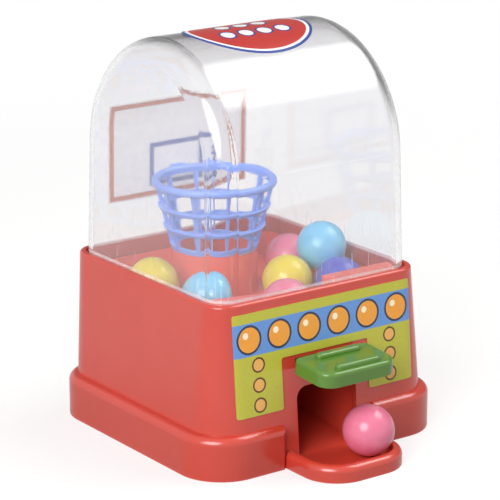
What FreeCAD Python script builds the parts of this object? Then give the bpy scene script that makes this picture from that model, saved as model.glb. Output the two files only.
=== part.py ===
"""Desk-top gumball machine with a hoop-and-net game under a clear vaulted dome.

Millimetres. The origin is the centre of the face that it stands on, +Z is up and the front looks along -Y.
"""

import FreeCAD
import Part
import Sketcher
import math
import os
from types import SimpleNamespace

# Driving dimensions, one sheet row each.
SIZES = {
    # Housing: stepped plinth, four walls that lean in towards the rim, and a plumb back.
    "plinth_width": 72.8,
    "plinth_depth": 70.5,
    "plinth_corner": 11.8,
    "plinth_height": 10.8,
    "plinth_edge": 2.0,
    "notch_edge": 1.0,
    "body_width_floor": 69.2,
    "body_width_rim": 61.8,
    "body_front_floor": 34.2,
    "body_front_rim": 30.6,
    "body_back": 33.6,
    "body_corner_floor": 10.6,
    "body_corner_rim": 6.1,
    "rim_height": 42.1,
    "rim_edge": 0.7,
    "wall": 1.45,
    "exit_height": 19.0,
    "exit_corner": 3.0,
    # Lever slot, below and above the pivot.
    "slot_low": 2.6,
    "slot_high": 1.7,
    "slot_corner": 0.5,
    # Screw posts.
    "post_side": 26.3,
    "post_front": 21.0,
    "post_back": 24.0,
    "post_radius": 3.0,
    # Fits between pieces.
    "slip_fit": 0.1,
    "running_fit": 0.05,
    "press_gap": 0.02,
    "film_gap": 0.03,
    "lever_gap": 0.5,
    # Base plate and its screws.
    "plate_thick": 1.6,
    "boss_radius": 4.2,
    "boss_height": 3.2,
    "screw_radius": 1.2,
    "screw_length": 11.0,
    "head_radius": 2.4,
    "head_height": 1.3,
    "head_recess": 0.3,
    # Tray and chute.
    "tray_width": 27.2,
    "tray_front": 51.6,
    "tray_corner": 9.5,
    "tray_height": 4.1,
    "tray_edge": 1.7,
    "tray_floor": 2.0,
    "tray_lip": 2.4,
    "lip_edge": 0.5,
    "dish_foot": 1.4,
    "chute_width": 17.8,
    "chute_wall": 1.2,
    "chute_side": 7.8,
    "chute_rise": 5.5,
    "chute_back": 25.4,
    "chute_solid": 20.0,
    "roof_back": 2.0,
    # Ball bed: the foot of its wall and the front of its floor are measured up from the pivot.
    "bed_wall": 1.4,
    "bed_low": 2.4,
    "bed_front": 4.7,
    "bed_rise": 2.2,
    "bed_thick": 1.5,
    "collar_radius": 10.5,
    "collar_wall": 1.0,
    "collar_top": 42.1,
    "lug_inner": 11.2,
    "lug_thick": 2.2,
    # Shelves on the bed beside the spoon: top above the dome's seat, back edge in front of the centre.
    "shelf_high": 3.6,
    "shelf_back": 20.4,
    "shelf_slant": 4.8,
    "shelf_gap": 0.3,
    # Dome.
    "dome_seat": 38.0,
    "dome_spring": 71.2,
    "dome_height": 100.4,
    "dome_taper": 0.7,
    "dome_lean": 1.36,
    "dome_round": 5.8,
    "dome_wall": 1.3,
    # Backboard, hoop and net.
    "board_margin": 2.75,
    "board_low": 52.7,
    "board_high": 78.5,
    "board_thick": 0.5,
    "hoop_back": 13.9,
    "hoop_height": 59.3,
    "hoop_radius": 15.35,
    "hoop_width": 1.9,
    "hoop_tall": 1.9,
    "hoop_edge": 0.8,
    "net_inset": 0.85,
    "net_wall": 1.0,
    "net_bar": 1.3,
    "net_bulge": 0.45,
    "net_low_row": 5.0,
    "net_middle_row": 5.25,
    "net_ribs": 10,
    "rib_width": 1.3,
    "bracket_width": 5.0,
    "bracket_tall": 2.4,
    # Lever, its pin and spring.
    "pivot_front": 26.5,
    "pivot_height": 24.6,
    "pin_radius": 1.0,
    "pin_proud": 0.6,
    "hub_radius": 2.3,
    "lever_tilt": 4.1,
    "pad_width": 22.2,
    "pad_front": 20.4,
    "pad_back": 7.0,
    "pad_low": -0.46,
    "pad_thick": 3.7,
    "pad_corner": 4.0,
    "pad_back_corner": 2.0,
    "pad_edge": 1.0,
    "grip_length": 13.0,
    "grip_width": 2.3,
    "grip_height": 1.2,
    "grip_edge": 0.7,
    "grip_first": 10.4,
    "grip_second": 18.0,
    "neck_width": 17.0,
    "neck_low": 0.0,
    "neck_high": 1.7,
    "arm_width": 9.0,
    "arm_high": 1.0,
    "arm_low": 2.2,
    "spoon_back": 11.0,
    "spoon_radius": 6.0,
    "spoon_high": 3.4,
    "spoon_gap": 0.8,
    "spoon_swing": 2.0,
    "dish_sink": 0.75,
    "peg_back": 9.0,
    "peg_drop": 1.5,
    "peg_radius": 0.9,
    "spring_side": 13.6,
    "spring_radius": 2.0,
    "spring_wire": 0.3,
    "spring_turns": 8,
    "spring_post": 18.0,
    "anchor_height": 7.5,
    # Labels. The front one's gap is measured up from the pivot.
    "label_thick": 0.15,
    "label_half": 26.7,
    "label_high": 39.7,
    "label_low": 14.5,
    "label_gap_half": 13.1,
    "label_gap_high": 2.6,
    "label_corner": 0.6,
    "oval_half_length": 17.2,
    "oval_half_width": 13.0,
    "oval_forward": 1.6,
    # Gumballs: gaps to the bed, to each other and to the side wall, and places before or behind the centre.
    "gumball": 12.7,
    "ball_rest": 0.05,
    "ball_gap": 0.4,
    "yellow_wall_gap": 0.6,
    "yellow_behind": 10.0,
    "blue_wall_gap": 5.6,
    "blue_before": 6.2,
    "violet_wall_gap": 3.6,
    "pink_behind": 8.0,
    "top_wall_gap": 1.2,
    "top_before": 3.3,
    "tray_ball_side": 4.8,
    "tray_ball_front": 43.3,
}

FRONT_TO_BACK = "YZ_Plane"
ACROSS = "XZ_Plane"
LEVEL = "XY_Plane"

doc = FreeCAD.newDocument("gumball_machine")
sheet = doc.addObject("Spreadsheet::Sheet", "sizes")
for row, (name, number) in enumerate(SIZES.items(), start=1):
    sheet.set(f"A{row}", name)
    sheet.set(f"B{row}", str(number))
    sheet.setAlias(f"B{row}", name)
doc.recompute()


class Size:
    """A number kept together with the sheet expression that gives it."""

    def __init__(self, value, text):
        self.value = value
        self.text = text

    def __add__(self, other):
        other = size(other)
        return Size(self.value + other.value, f"({self.text} + {other.text})")

    def __sub__(self, other):
        other = size(other)
        return Size(self.value - other.value, f"({self.text} - {other.text})")

    def __mul__(self, other):
        other = size(other)
        return Size(self.value * other.value, f"({self.text} * {other.text})")

    def __truediv__(self, other):
        other = size(other)
        return Size(self.value / other.value, f"({self.text} / {other.text})")

    def __neg__(self):
        return Size(-self.value, f"(0 - {self.text})")

    def root(self):
        return Size(math.sqrt(self.value), f"sqrt({self.text})")

    def sine(self):
        return Size(math.sin(math.radians(self.value)), f"sin({self.text} * 1 deg)")

    def cosine(self):
        return Size(math.cos(math.radians(self.value)), f"cos({self.text} * 1 deg)")


def size(amount):
    """Give a plain number as a Size, and a Size as it is."""
    if isinstance(amount, Size):
        return amount
    return Size(float(amount), f"({float(amount)})")


S = SimpleNamespace(**{name: Size(float(number), f"sizes.{name}") for name, number in SIZES.items()})


def bind(thing, prop, amount):
    """Tie one property of a document object to the sheet."""
    thing.setExpression(prop, size(amount).text)


def new_body(label):
    body = doc.addObject("PartDesign::Body", label)
    body.Label = label
    return body


def origin_feature(body, role):
    return next(feature for feature in body.Origin.OriginFeatures if feature.Role == role)


def new_sketch(body, name, plane, offset=0):
    """Start a sketch on one of the body's origin planes, moved along the plane's normal."""
    sketch = body.newObject("Sketcher::SketchObject", name)
    sketch.AttachmentSupport = (origin_feature(body, plane), [""])
    sketch.MapMode = "FlatFace"
    bind(sketch, "AttachmentOffset.Base.z", offset)
    return sketch


def vector(x, y):
    return FreeCAD.Vector(x, y, 0)


def arc_between(start, end, radius, turn):
    """Give the short arc of a radius between two points, and which of its ends comes first."""
    middle = (start + end) * 0.5
    chord = end - start
    rise = math.sqrt(max(radius ** 2 - (chord.Length / 2) ** 2, 0.0))
    across = vector(-chord.y, chord.x).normalize()
    centre = middle + across * (rise * turn)
    first, last = (start, end) if turn > 0 else (end, start)
    begin = math.atan2(first.y - centre.y, first.x - centre.x)
    finish = math.atan2(last.y - centre.y, last.x - centre.x)
    if finish <= begin:
        finish += 2 * math.pi
    return Part.ArcOfCircle(Part.Circle(centre, FreeCAD.Vector(0, 0, 1), radius), begin, finish)


def trace(sketch, points):
    """Draw a closed outline. A point is (x, y), or (x, y, radius, turn) where an arc leads to it."""
    points = [tuple(size(amount) for amount in point[:3]) + tuple(point[3:]) for point in points]
    first = sketch.GeometryCount
    ends = []
    for index, point in enumerate(points):
        before = points[index - 1]
        start = vector(before[0].value, before[1].value)
        end = vector(point[0].value, point[1].value)
        if len(point) == 2:
            sketch.addGeometry(Part.LineSegment(start, end))
            ends.append((1, 2))
        else:
            sketch.addGeometry(arc_between(start, end, point[2].value, point[3]))
            ends.append((1, 2) if point[3] > 0 else (2, 1))
    for index, point in enumerate(points):
        edge = first + index
        following = (index + 1) % len(points)
        sketch.addConstraint(Sketcher.Constraint(
            "Coincident", edge, ends[index][1], first + following, ends[following][0]))
        for kind, amount in (("DistanceX", point[0]), ("DistanceY", point[1])):
            place = sketch.addConstraint(Sketcher.Constraint(
                kind, -1, 1, edge, ends[index][1], amount.value))
            bind(sketch, f"Constraints[{place}]", amount)
        if len(point) > 2:
            place = sketch.addConstraint(Sketcher.Constraint("Radius", edge, point[2].value))
            bind(sketch, f"Constraints[{place}]", point[2])
    return sketch


def round_corners(corners):
    """Turn square corners (x, y, radius) of a counter-clockwise outline into points and arcs."""
    points = []
    for index, (x, y, radius) in enumerate(corners):
        x, y = size(x), size(y)
        if radius is None:
            points.append((x, y))
            continue
        after = corners[(index + 1) % len(corners)]
        before = corners[index - 1]
        way_in = unit_step(before, (x, y))
        way_out = unit_step((x, y), after)
        turn = 1 if way_in[0] * way_out[1] - way_in[1] * way_out[0] > 0 else -1
        points.append((x - size(radius) * way_in[0], y - size(radius) * way_in[1]))
        points.append((x + size(radius) * way_out[0], y + size(radius) * way_out[1], radius, turn))
    return points


def unit_step(start, end):
    """Give the direction of a side that runs along x or y."""
    across = size(end[0]).value - size(start[0]).value
    along = size(end[1]).value - size(start[1]).value
    if abs(across) > abs(along):
        return (math.copysign(1, across), 0)
    return (0, math.copysign(1, along))


def rectangle(low_x, high_x, low_y, high_y, radius=None):
    return round_corners([
        (low_x, low_y, radius), (high_x, low_y, radius),
        (high_x, high_y, radius), (low_x, high_y, radius)])


def circle(sketch, x, y, radius):
    x, y, radius = size(x), size(y), size(radius)
    edge = sketch.addGeometry(Part.Circle(vector(x.value, y.value), FreeCAD.Vector(0, 0, 1), radius.value))
    for kind, amount in (("DistanceX", x), ("DistanceY", y)):
        place = sketch.addConstraint(Sketcher.Constraint(kind, -1, 1, edge, 3, amount.value))
        bind(sketch, f"Constraints[{place}]", amount)
    place = sketch.addConstraint(Sketcher.Constraint("Radius", edge, radius.value))
    bind(sketch, f"Constraints[{place}]", radius)
    return sketch


def pad(body, sketch, length, symmetric=False, backwards=False):
    feature = body.newObject("PartDesign::Pad", f"{sketch.Name}_pad")
    feature.Profile = sketch
    feature.SideType = "Symmetric" if symmetric else "One side"
    feature.Reversed = backwards
    bind(feature, "Length", length)
    doc.recompute()
    return feature


def pocket(body, sketch, length, symmetric=False, backwards=False):
    """Cut a sketch away, and stop if the cut took nothing off."""
    before = body.Shape.Volume
    feature = body.newObject("PartDesign::Pocket", f"{sketch.Name}_pocket")
    feature.Profile = sketch
    feature.SideType = "Symmetric" if symmetric else "One side"
    feature.Reversed = backwards
    bind(feature, "Length", length)
    doc.recompute()
    if not body.Shape.Volume < before - 0.01:
        raise RuntimeError(f"{feature.Name} cuts nothing")
    return feature


def loft(body, low, high, subtract=False):
    kind = "PartDesign::SubtractiveLoft" if subtract else "PartDesign::AdditiveLoft"
    feature = body.newObject(kind, f"{low.Name}_loft")
    feature.Profile = low
    feature.Sections = [high]
    doc.recompute()
    return feature


def fillet(body, radius, chosen):
    """Round the edges of the body's last feature whose boxes pass the test."""
    base = body.Tip
    names = [f"Edge{number}" for number, edge in enumerate(base.Shape.Edges, start=1)
             if chosen(edge.BoundBox)]
    feature = body.newObject("PartDesign::Fillet", f"{base.Name}_round")
    feature.Base = (base, names)
    bind(feature, "Radius", radius)
    doc.recompute()
    return feature


def place(thing, x=0, y=0, z=0):
    for axis, amount in (("x", x), ("y", y), ("z", z)):
        bind(thing, f"Placement.Base.{axis}", amount)


# Sizes that several pieces share.
lean_front = (S.body_front_floor - S.body_front_rim) / S.rim_height
lean_side = (S.body_width_floor - S.body_width_rim) / 2 / S.rim_height
rim_inner_half = S.body_width_rim / 2 - S.wall
dome_half = rim_inner_half - S.slip_fit
dome_front = -(S.body_front_rim - S.wall - S.slip_fit)
dome_back = S.body_back - S.wall - S.slip_fit
dome_middle = (dome_front + dome_back) / 2
vault_half = (dome_back - dome_front) / 2 - S.dome_taper
vault_rise = S.dome_height - S.dome_spring
vault_radius = (vault_half * vault_half + vault_rise * vault_rise) / (vault_rise * 2)
vault_centre = S.dome_height - vault_radius
bed_in_half = dome_half - S.bed_wall
bed_in_front = dome_front + S.bed_wall
bed_in_back = dome_back - S.bed_wall
bed_slope = S.bed_rise / (bed_in_back - bed_in_front)
notch_half = S.tray_width / 2 + S.slip_fit
chute_half = S.chute_width / 2
chute_outer = chute_half + S.chute_wall
exit_half = chute_half + S.slip_fit
pad_high = S.pad_low + S.pad_thick
bed_foot = S.pivot_height + S.bed_low
slot_half = S.neck_width / 2 + S.lever_gap
hub_half = S.lug_inner - S.running_fit * 4
hoop_y = S.hoop_back
dish_centre = S.spoon_high + S.gumball / 2 - S.dish_sink
screw_places = [
    (side, depth)
    for side in (-S.post_side, S.post_side)
    for depth in (-S.post_front, S.post_back)]
BEYOND = 100


def bed_top(y):
    """Height of the sloping bed at a distance behind the centre."""
    return S.pivot_height + S.bed_front + bed_slope * (size(y) - bed_in_front)


def lever_point(back, up):
    """Where a point of the level lever lies when it rests at its tilt: distance behind the centre, height."""
    along = S.lever_tilt.cosine()
    lift = S.lever_tilt.sine()
    return (along * back - lift * up - S.pivot_front, lift * back + along * up + S.pivot_height)


def chute_top(y):
    """Height of the chute's floor, which climbs from the tray to its back end."""
    start = -S.body_front_floor
    return S.tray_floor + S.chute_rise / (S.chute_back - start) * (size(y) - start)


def wall_face(height):
    """How far in front the inside of the front wall lies at a height, less a slip fit."""
    return lean_front * height + S.wall + S.slip_fit - S.body_front_floor


def body_section(body, name, height, grow):
    """Draw the housing's outline at the floor or the rim, grown outwards by an amount."""
    at_floor = height is None
    half = (S.body_width_floor if at_floor else S.body_width_rim) / 2 + grow
    front = -(S.body_front_floor if at_floor else S.body_front_rim) - grow
    corner = (S.body_corner_floor if at_floor else S.body_corner_rim) + grow
    sketch = new_sketch(body, name, LEVEL, 0 if at_floor else height)
    return trace(sketch, rectangle(-half, half, front, S.body_back + grow, corner))


def make_housing():
    """Red moulded shell: hollow plinth, notch for the tray, leaning walls, posts for the screws."""
    body = new_body("housing")
    half_width = S.plinth_width / 2
    half_depth = S.plinth_depth / 2
    sketch = new_sketch(body, "plinth", LEVEL)
    trace(sketch, rectangle(-half_width, half_width, -half_depth, half_depth, S.plinth_corner))
    pad(body, sketch, S.plinth_height)
    top = S.plinth_height.value
    fillet(body, S.plinth_edge, lambda box: box.ZMin > top - 0.01)

    sketch = new_sketch(body, "plinth_hollow", LEVEL)
    trace(sketch, rectangle(
        S.wall - half_width, half_width - S.wall, S.wall - half_depth, half_depth - S.wall,
        S.plinth_corner - S.wall))
    pocket(body, sketch, S.plinth_height - S.wall, backwards=True)

    sketch = new_sketch(body, "tray_notch", LEVEL)
    flare = notch_half + S.notch_edge
    notch_back = S.wall * 2 - S.body_front_floor
    trace(sketch, [
        (-flare, -half_depth - 1), (flare, -half_depth - 1), (flare, -half_depth),
        (notch_half, S.notch_edge - half_depth, S.notch_edge, -1), (notch_half, notch_back),
        (-notch_half, notch_back), (-notch_half, S.notch_edge - half_depth),
        (-flare, -half_depth, S.notch_edge, -1)])
    pocket(body, sketch, S.plinth_height, backwards=True)

    low = body_section(body, "walls_floor", None, 0)
    high = body_section(body, "walls_rim", S.rim_height, 0)
    loft(body, low, high)
    rim = S.rim_height.value
    fillet(body, S.rim_edge, lambda box: box.ZMin > rim - 0.01)
    low = body_section(body, "hollow_floor", None, -S.wall)
    high = body_section(body, "hollow_rim", S.rim_height, -S.wall)
    loft(body, low, high, subtract=True)

    sketch = new_sketch(body, "exit_opening", ACROSS)
    trace(sketch, round_corners([
        (-exit_half, -1, None), (exit_half, -1, None),
        (exit_half, S.exit_height, S.exit_corner), (-exit_half, S.exit_height, S.exit_corner)]))
    pocket(body, sketch, BEYOND, backwards=True)
    sketch = new_sketch(body, "lever_slot", ACROSS)
    trace(sketch, rectangle(
        -slot_half, slot_half, S.pivot_height - S.slot_low, S.pivot_height + S.slot_high, S.slot_corner))
    pocket(body, sketch, BEYOND, backwards=True)

    add_posts(body)
    return body


def add_posts(body):
    """Four posts carry the ball bed and take the base screws; a web ties each to its side wall."""
    foot = S.boss_height
    sketch = new_sketch(body, "posts", LEVEL, foot)
    for side, depth in screw_places:
        circle(sketch, side, depth, S.post_radius)
    pad(body, sketch, bed_foot - foot)
    for name, depth in (("front_webs", -S.post_front), ("back_webs", S.post_back)):
        sketch = new_sketch(body, name, ACROSS, -depth)
        for side in (1, -1):
            inner = S.post_side + 1
            low = S.body_width_floor / 2 - lean_side * foot - S.wall / 2
            high = S.body_width_floor / 2 - lean_side * bed_foot - S.wall / 2
            trace(sketch, [
                (inner * side, foot), (low * side, foot), (high * side, bed_foot), (inner * side, bed_foot)])
        pad(body, sketch, S.wall, symmetric=True)
    sketch = new_sketch(body, "screw_pilots", LEVEL, foot)
    for side, depth in screw_places:
        circle(sketch, side, depth, S.screw_radius + S.running_fit)
    pocket(body, sketch, S.screw_length, backwards=True)


def make_base_plate():
    """Bottom plate inside the walls, with bosses for the screws and the spring's anchor post."""
    body = new_body("base_plate")
    gap = S.wall + S.slip_fit * 2 + lean_side * S.plate_thick
    half = S.body_width_floor / 2 - gap
    sketch = new_sketch(body, "plate", LEVEL)
    trace(sketch, rectangle(
        -half, half, gap - S.body_front_floor, S.body_back - S.wall - S.slip_fit,
        S.body_corner_floor - S.wall))
    pad(body, sketch, S.plate_thick)
    sketch = new_sketch(body, "bosses", LEVEL)
    for side, depth in screw_places:
        circle(sketch, side, depth, S.boss_radius)
    pad(body, sketch, S.boss_height)
    sketch = new_sketch(body, "head_seats", LEVEL)
    for side, depth in screw_places:
        circle(sketch, side, depth, S.head_radius + S.slip_fit * 2)
    pocket(body, sketch, S.head_height + S.head_recess, backwards=True)
    sketch = new_sketch(body, "screw_holes", LEVEL)
    for side, depth in screw_places:
        circle(sketch, side, depth, S.screw_radius + S.slip_fit * 2)
    pocket(body, sketch, S.boss_height, backwards=True)

    depth = lever_point(S.peg_back, -S.peg_drop)[0]
    sketch = new_sketch(body, "anchor_post", LEVEL)
    circle(sketch, S.spring_post, depth, S.peg_radius * 2)
    pad(body, sketch, S.anchor_height + S.peg_radius * 2)
    sketch = new_sketch(body, "anchor_peg", FRONT_TO_BACK, S.spring_side - S.peg_radius)
    circle(sketch, depth, S.anchor_height, S.peg_radius)
    pad(body, sketch, S.spring_post - S.spring_side + S.peg_radius)
    return body


def make_base_screws():
    """Four pan-head screws from below, kept together as one group."""
    screws = []
    for number, (side, depth) in enumerate(screw_places, start=1):
        head = doc.addObject("Part::Cylinder", f"screw_head_{number}")
        bind(head, "Radius", S.head_radius)
        bind(head, "Height", S.head_height)
        place(head, side, depth, S.head_recess)
        shank = doc.addObject("Part::Cylinder", f"screw_shank_{number}")
        bind(shank, "Radius", S.screw_radius)
        bind(shank, "Height", S.screw_length)
        place(shank, side, depth, S.head_recess + S.head_height / 2)
        screw = doc.addObject("Part::Fuse", f"screw_{number}")
        screw.Base = head
        screw.Tool = shank
        screws.append(screw)
    group = doc.addObject("Part::Compound", "base_screws")
    group.Links = screws
    group.Label = "base_screws"
    return group


def make_chute_tray():
    """Tray lip in front of the housing and the trough that leads down to it, roofed near the exit."""
    body = new_body("chute_tray")
    half = S.tray_width / 2
    tray_back = -S.body_front_floor - S.slip_fit
    sketch = new_sketch(body, "tray", LEVEL)
    trace(sketch, round_corners([
        (-half, -S.tray_front, S.tray_corner), (half, -S.tray_front, S.tray_corner),
        (half, tray_back, None), (-half, tray_back, None)]))
    pad(body, sketch, S.tray_height)
    top = S.tray_height.value
    back = tray_back.value
    fillet(body, S.tray_edge, lambda box: box.ZMin > top - 0.01 and box.YMin < back - 0.01)
    dish_half = half - S.tray_lip
    dish_front = S.tray_lip - S.tray_front
    dish_corner = S.tray_corner - S.tray_lip
    sketch = new_sketch(body, "tray_dish", LEVEL, S.tray_floor)
    trace(sketch, round_corners([
        (-dish_half, dish_front, dish_corner), (dish_half, dish_front, dish_corner),
        (dish_half, tray_back + 1, None), (-dish_half, tray_back + 1, None)]))
    pocket(body, sketch, S.tray_height, backwards=True)
    side = dish_half.value + 0.01
    front = dish_front.value - 0.01
    for height, radius in ((S.tray_height, S.lip_edge), (S.tray_floor, S.dish_foot)):
        fillet(body, radius, lambda box: (
            abs(box.ZMin - height.value) + box.ZLength < 0.01
            and -side < box.XMin and box.XMax < side and front < box.YMin < back - 0.01))

    seat = S.plate_thick
    ceiling = S.exit_height + S.slip_fit
    roof = ceiling + S.chute_wall
    low_front = wall_face(seat)
    sketch = new_sketch(body, "tongue", FRONT_TO_BACK)
    trace(sketch, [
        (tray_back - 1, S.head_recess), (tray_back + 1, S.head_recess), (tray_back + 1, seat),
        (low_front + 1, seat), (low_front + 1, chute_top(low_front + 1)),
        (tray_back - 1, chute_top(tray_back - 1))])
    pad(body, sketch, S.chute_width, symmetric=True)

    end = S.chute_back
    sketch = new_sketch(body, "trough", FRONT_TO_BACK)
    trace(sketch, [
        (low_front, seat), (end, seat), (end, chute_top(end) + S.chute_side),
        (S.roof_back, chute_top(S.roof_back) + S.chute_side), (S.roof_back, roof), (wall_face(roof), roof)])
    pad(body, sketch, chute_outer * 2, symmetric=True)
    stop = end - S.chute_wall
    sketch = new_sketch(body, "channel", FRONT_TO_BACK)
    trace(sketch, [
        (low_front - 1, chute_top(low_front - 1)), (stop, chute_top(stop)), (stop, roof),
        (S.roof_back + 1, roof), (S.roof_back + 1, ceiling), (low_front - 1, ceiling)])
    pocket(body, sketch, S.chute_width, symmetric=True)
    hollow = -S.chute_solid
    sketch = new_sketch(body, "underside", FRONT_TO_BACK)
    trace(sketch, [
        (hollow, seat - 1), (stop, seat - 1), (stop, chute_top(stop) - S.chute_wall),
        (hollow, chute_top(hollow) - S.chute_wall)])
    pocket(body, sketch, S.chute_width, symmetric=True)
    return body


def make_ball_bed():
    """Sloping floor in a rim wall, with the collar under the net, the spoon's opening and the pin lugs."""
    body = new_body("ball_bed")
    front = bed_in_front - S.bed_wall / 2
    back = bed_in_back + S.bed_wall / 2
    sketch = new_sketch(body, "bed_floor", FRONT_TO_BACK)
    trace(sketch, [
        (front, bed_top(front) - S.bed_thick), (back, bed_top(back) - S.bed_thick),
        (back, bed_top(back)), (front, bed_top(front))])
    pad(body, sketch, bed_in_half * 2 + S.bed_wall, symmetric=True)
    fillet(body, S.dome_round - S.bed_wall / 2, lambda box: box.XLength < 0.01 and box.YLength < 0.01)
    sketch = new_sketch(body, "bed_rim", LEVEL, bed_foot)
    trace(sketch, rectangle(-dome_half, dome_half, dome_front, dome_back, S.dome_round))
    trace(sketch, rectangle(
        -bed_in_half, bed_in_half, bed_in_front, bed_in_back, S.dome_round - S.bed_wall))
    pad(body, sketch, S.dome_seat - bed_foot)

    add_shelves(body)
    collar_foot = bed_top(hoop_y) - S.bed_thick / 2
    sketch = new_sketch(body, "collar", LEVEL, collar_foot)
    circle(sketch, 0, hoop_y, S.collar_radius)
    pad(body, sketch, S.collar_top - collar_foot)
    sketch = new_sketch(body, "collar_bore", LEVEL, S.collar_top)
    circle(sketch, 0, hoop_y, S.collar_radius - S.collar_wall)
    pocket(body, sketch, BEYOND)

    spoon_y = S.spoon_back - S.pivot_front
    half = S.spoon_radius + S.spoon_gap
    sketch = new_sketch(body, "spoon_opening", LEVEL, S.dome_seat)
    trace(sketch, rectangle(
        -half, half, spoon_y - S.spoon_radius - S.spoon_swing, spoon_y + half, S.spoon_radius - S.spoon_gap))
    pocket(body, sketch, BEYOND)

    lug = S.hub_radius
    lug_top = bed_top(-S.pivot_front) - S.bed_thick / 2
    for name, side in (("right_lug", S.lug_inner), ("left_lug", -S.lug_inner - S.lug_thick)):
        sketch = new_sketch(body, name, FRONT_TO_BACK, side)
        trace(sketch, [
            (-S.pivot_front - lug, S.pivot_height), (-S.pivot_front, S.pivot_height - lug, lug, 1),
            (lug - S.pivot_front, S.pivot_height, lug, 1), (lug - S.pivot_front, lug_top),
            (-S.pivot_front - lug, lug_top)])
        pad(body, sketch, S.lug_thick)
    sketch = new_sketch(body, "pin_holes", FRONT_TO_BACK)
    circle(sketch, -S.pivot_front, S.pivot_height, S.pin_radius + S.press_gap)
    pocket(body, sketch, S.plinth_width, symmetric=True)
    return body


def add_shelves(body):
    """A raised shelf in each front corner of the bed; the left one slants towards the spoon."""
    top = S.dome_seat + S.shelf_high
    notch = S.gumball / 2 + S.lever_gap * 2
    back = -S.shelf_back
    floor = bed_top(bed_in_front) - S.bed_thick / 2
    for name, low, high, grow in (
            ("shelf_blocks", floor, S.dome_seat, S.bed_wall / 2),
            ("shelf_tops", S.dome_seat, top, -S.shelf_gap)):
        front = bed_in_front - grow
        side = bed_in_half + grow
        corner = S.dome_round - S.bed_wall + grow
        sketch = new_sketch(body, name, LEVEL, low)
        trace(sketch, round_corners([
            (notch, front, None), (side, front, corner), (side, back, None), (notch, back, None)]))
        trace(sketch, round_corners([
            (-side, front, corner), (-notch, front, None), (-notch, back - S.shelf_slant, None),
            (-side, back, None)]))
        pad(body, sketch, high - low)
    crest = top.value
    fillet(body, S.rim_edge, lambda box: box.ZMin > crest - 0.01)


def make_dome():
    """Clear cover: a vault along X on tapered walls, with leaning ends, big rounds and an open foot."""
    body = new_body("dome")
    sketch = new_sketch(body, "vault", FRONT_TO_BACK)
    trace(sketch, [
        (dome_front, S.dome_seat), (dome_back, S.dome_seat), (dome_back - S.dome_taper, S.dome_spring),
        (dome_middle, S.dome_height, vault_radius, 1),
        (dome_front + S.dome_taper, S.dome_spring, vault_radius, 1)])
    pad(body, sketch, dome_half * 2, symmetric=True)
    sketch = new_sketch(body, "leaning_ends", ACROSS)
    for side in (1, -1):
        trace(sketch, [
            (dome_half * side, S.dome_seat), ((dome_half + 1) * side, S.dome_seat),
            ((dome_half + 1) * side, S.dome_height + 1),
            ((dome_half - S.dome_lean) * side, S.dome_height + 1)])
    pocket(body, sketch, BEYOND, symmetric=True)
    seat = S.dome_seat.value
    slant = S.dome_lean.value + 1
    fillet(body, S.dome_round, lambda box: box.ZMax > seat + 0.1 and box.XLength < slant)
    rounded = body.Tip
    foot = [f"Face{number}" for number, face in enumerate(rounded.Shape.Faces, start=1)
            if face.BoundBox.ZMax < seat + 0.01]
    shell = body.newObject("PartDesign::Thickness", "dome_shell")
    shell.Base = (rounded, foot)
    shell.Reversed = True
    bind(shell, "Value", S.dome_wall)
    doc.recompute()
    return body


def vault_inside(height, inset):
    """How far back the dome's inner surface lies at a height in the vault, less an inset."""
    radius = vault_radius - S.dome_wall - inset
    over = size(height) - vault_centre
    return dome_middle + (radius * radius - over * over).root()


def wall_inside(height, inset):
    """The same on the straight back wall below the vault."""
    taper = S.dome_taper / (S.dome_spring - S.dome_seat)
    return vault_inside(S.dome_spring, inset) + taper * (S.dome_spring - height)


def make_backboard():
    """Clear printed board that lies on the inside of the dome's back wall."""
    body = new_body("backboard")
    rear = S.film_gap
    face = S.film_gap + S.board_thick
    sketch = new_sketch(body, "board", FRONT_TO_BACK)
    trace(sketch, [
        (wall_inside(S.board_low, rear), S.board_low),
        (vault_inside(S.dome_spring, rear), S.dome_spring),
        (vault_inside(S.board_high, rear), S.board_high, vault_radius - S.dome_wall - rear, 1),
        (vault_inside(S.board_high, face), S.board_high),
        (vault_inside(S.dome_spring, face), S.dome_spring, vault_radius - S.dome_wall - face, -1),
        (wall_inside(S.board_low, face), S.board_low)])
    pad(body, sketch, (dome_half - S.dome_round - S.board_margin) * 2, symmetric=True)
    return body


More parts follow.
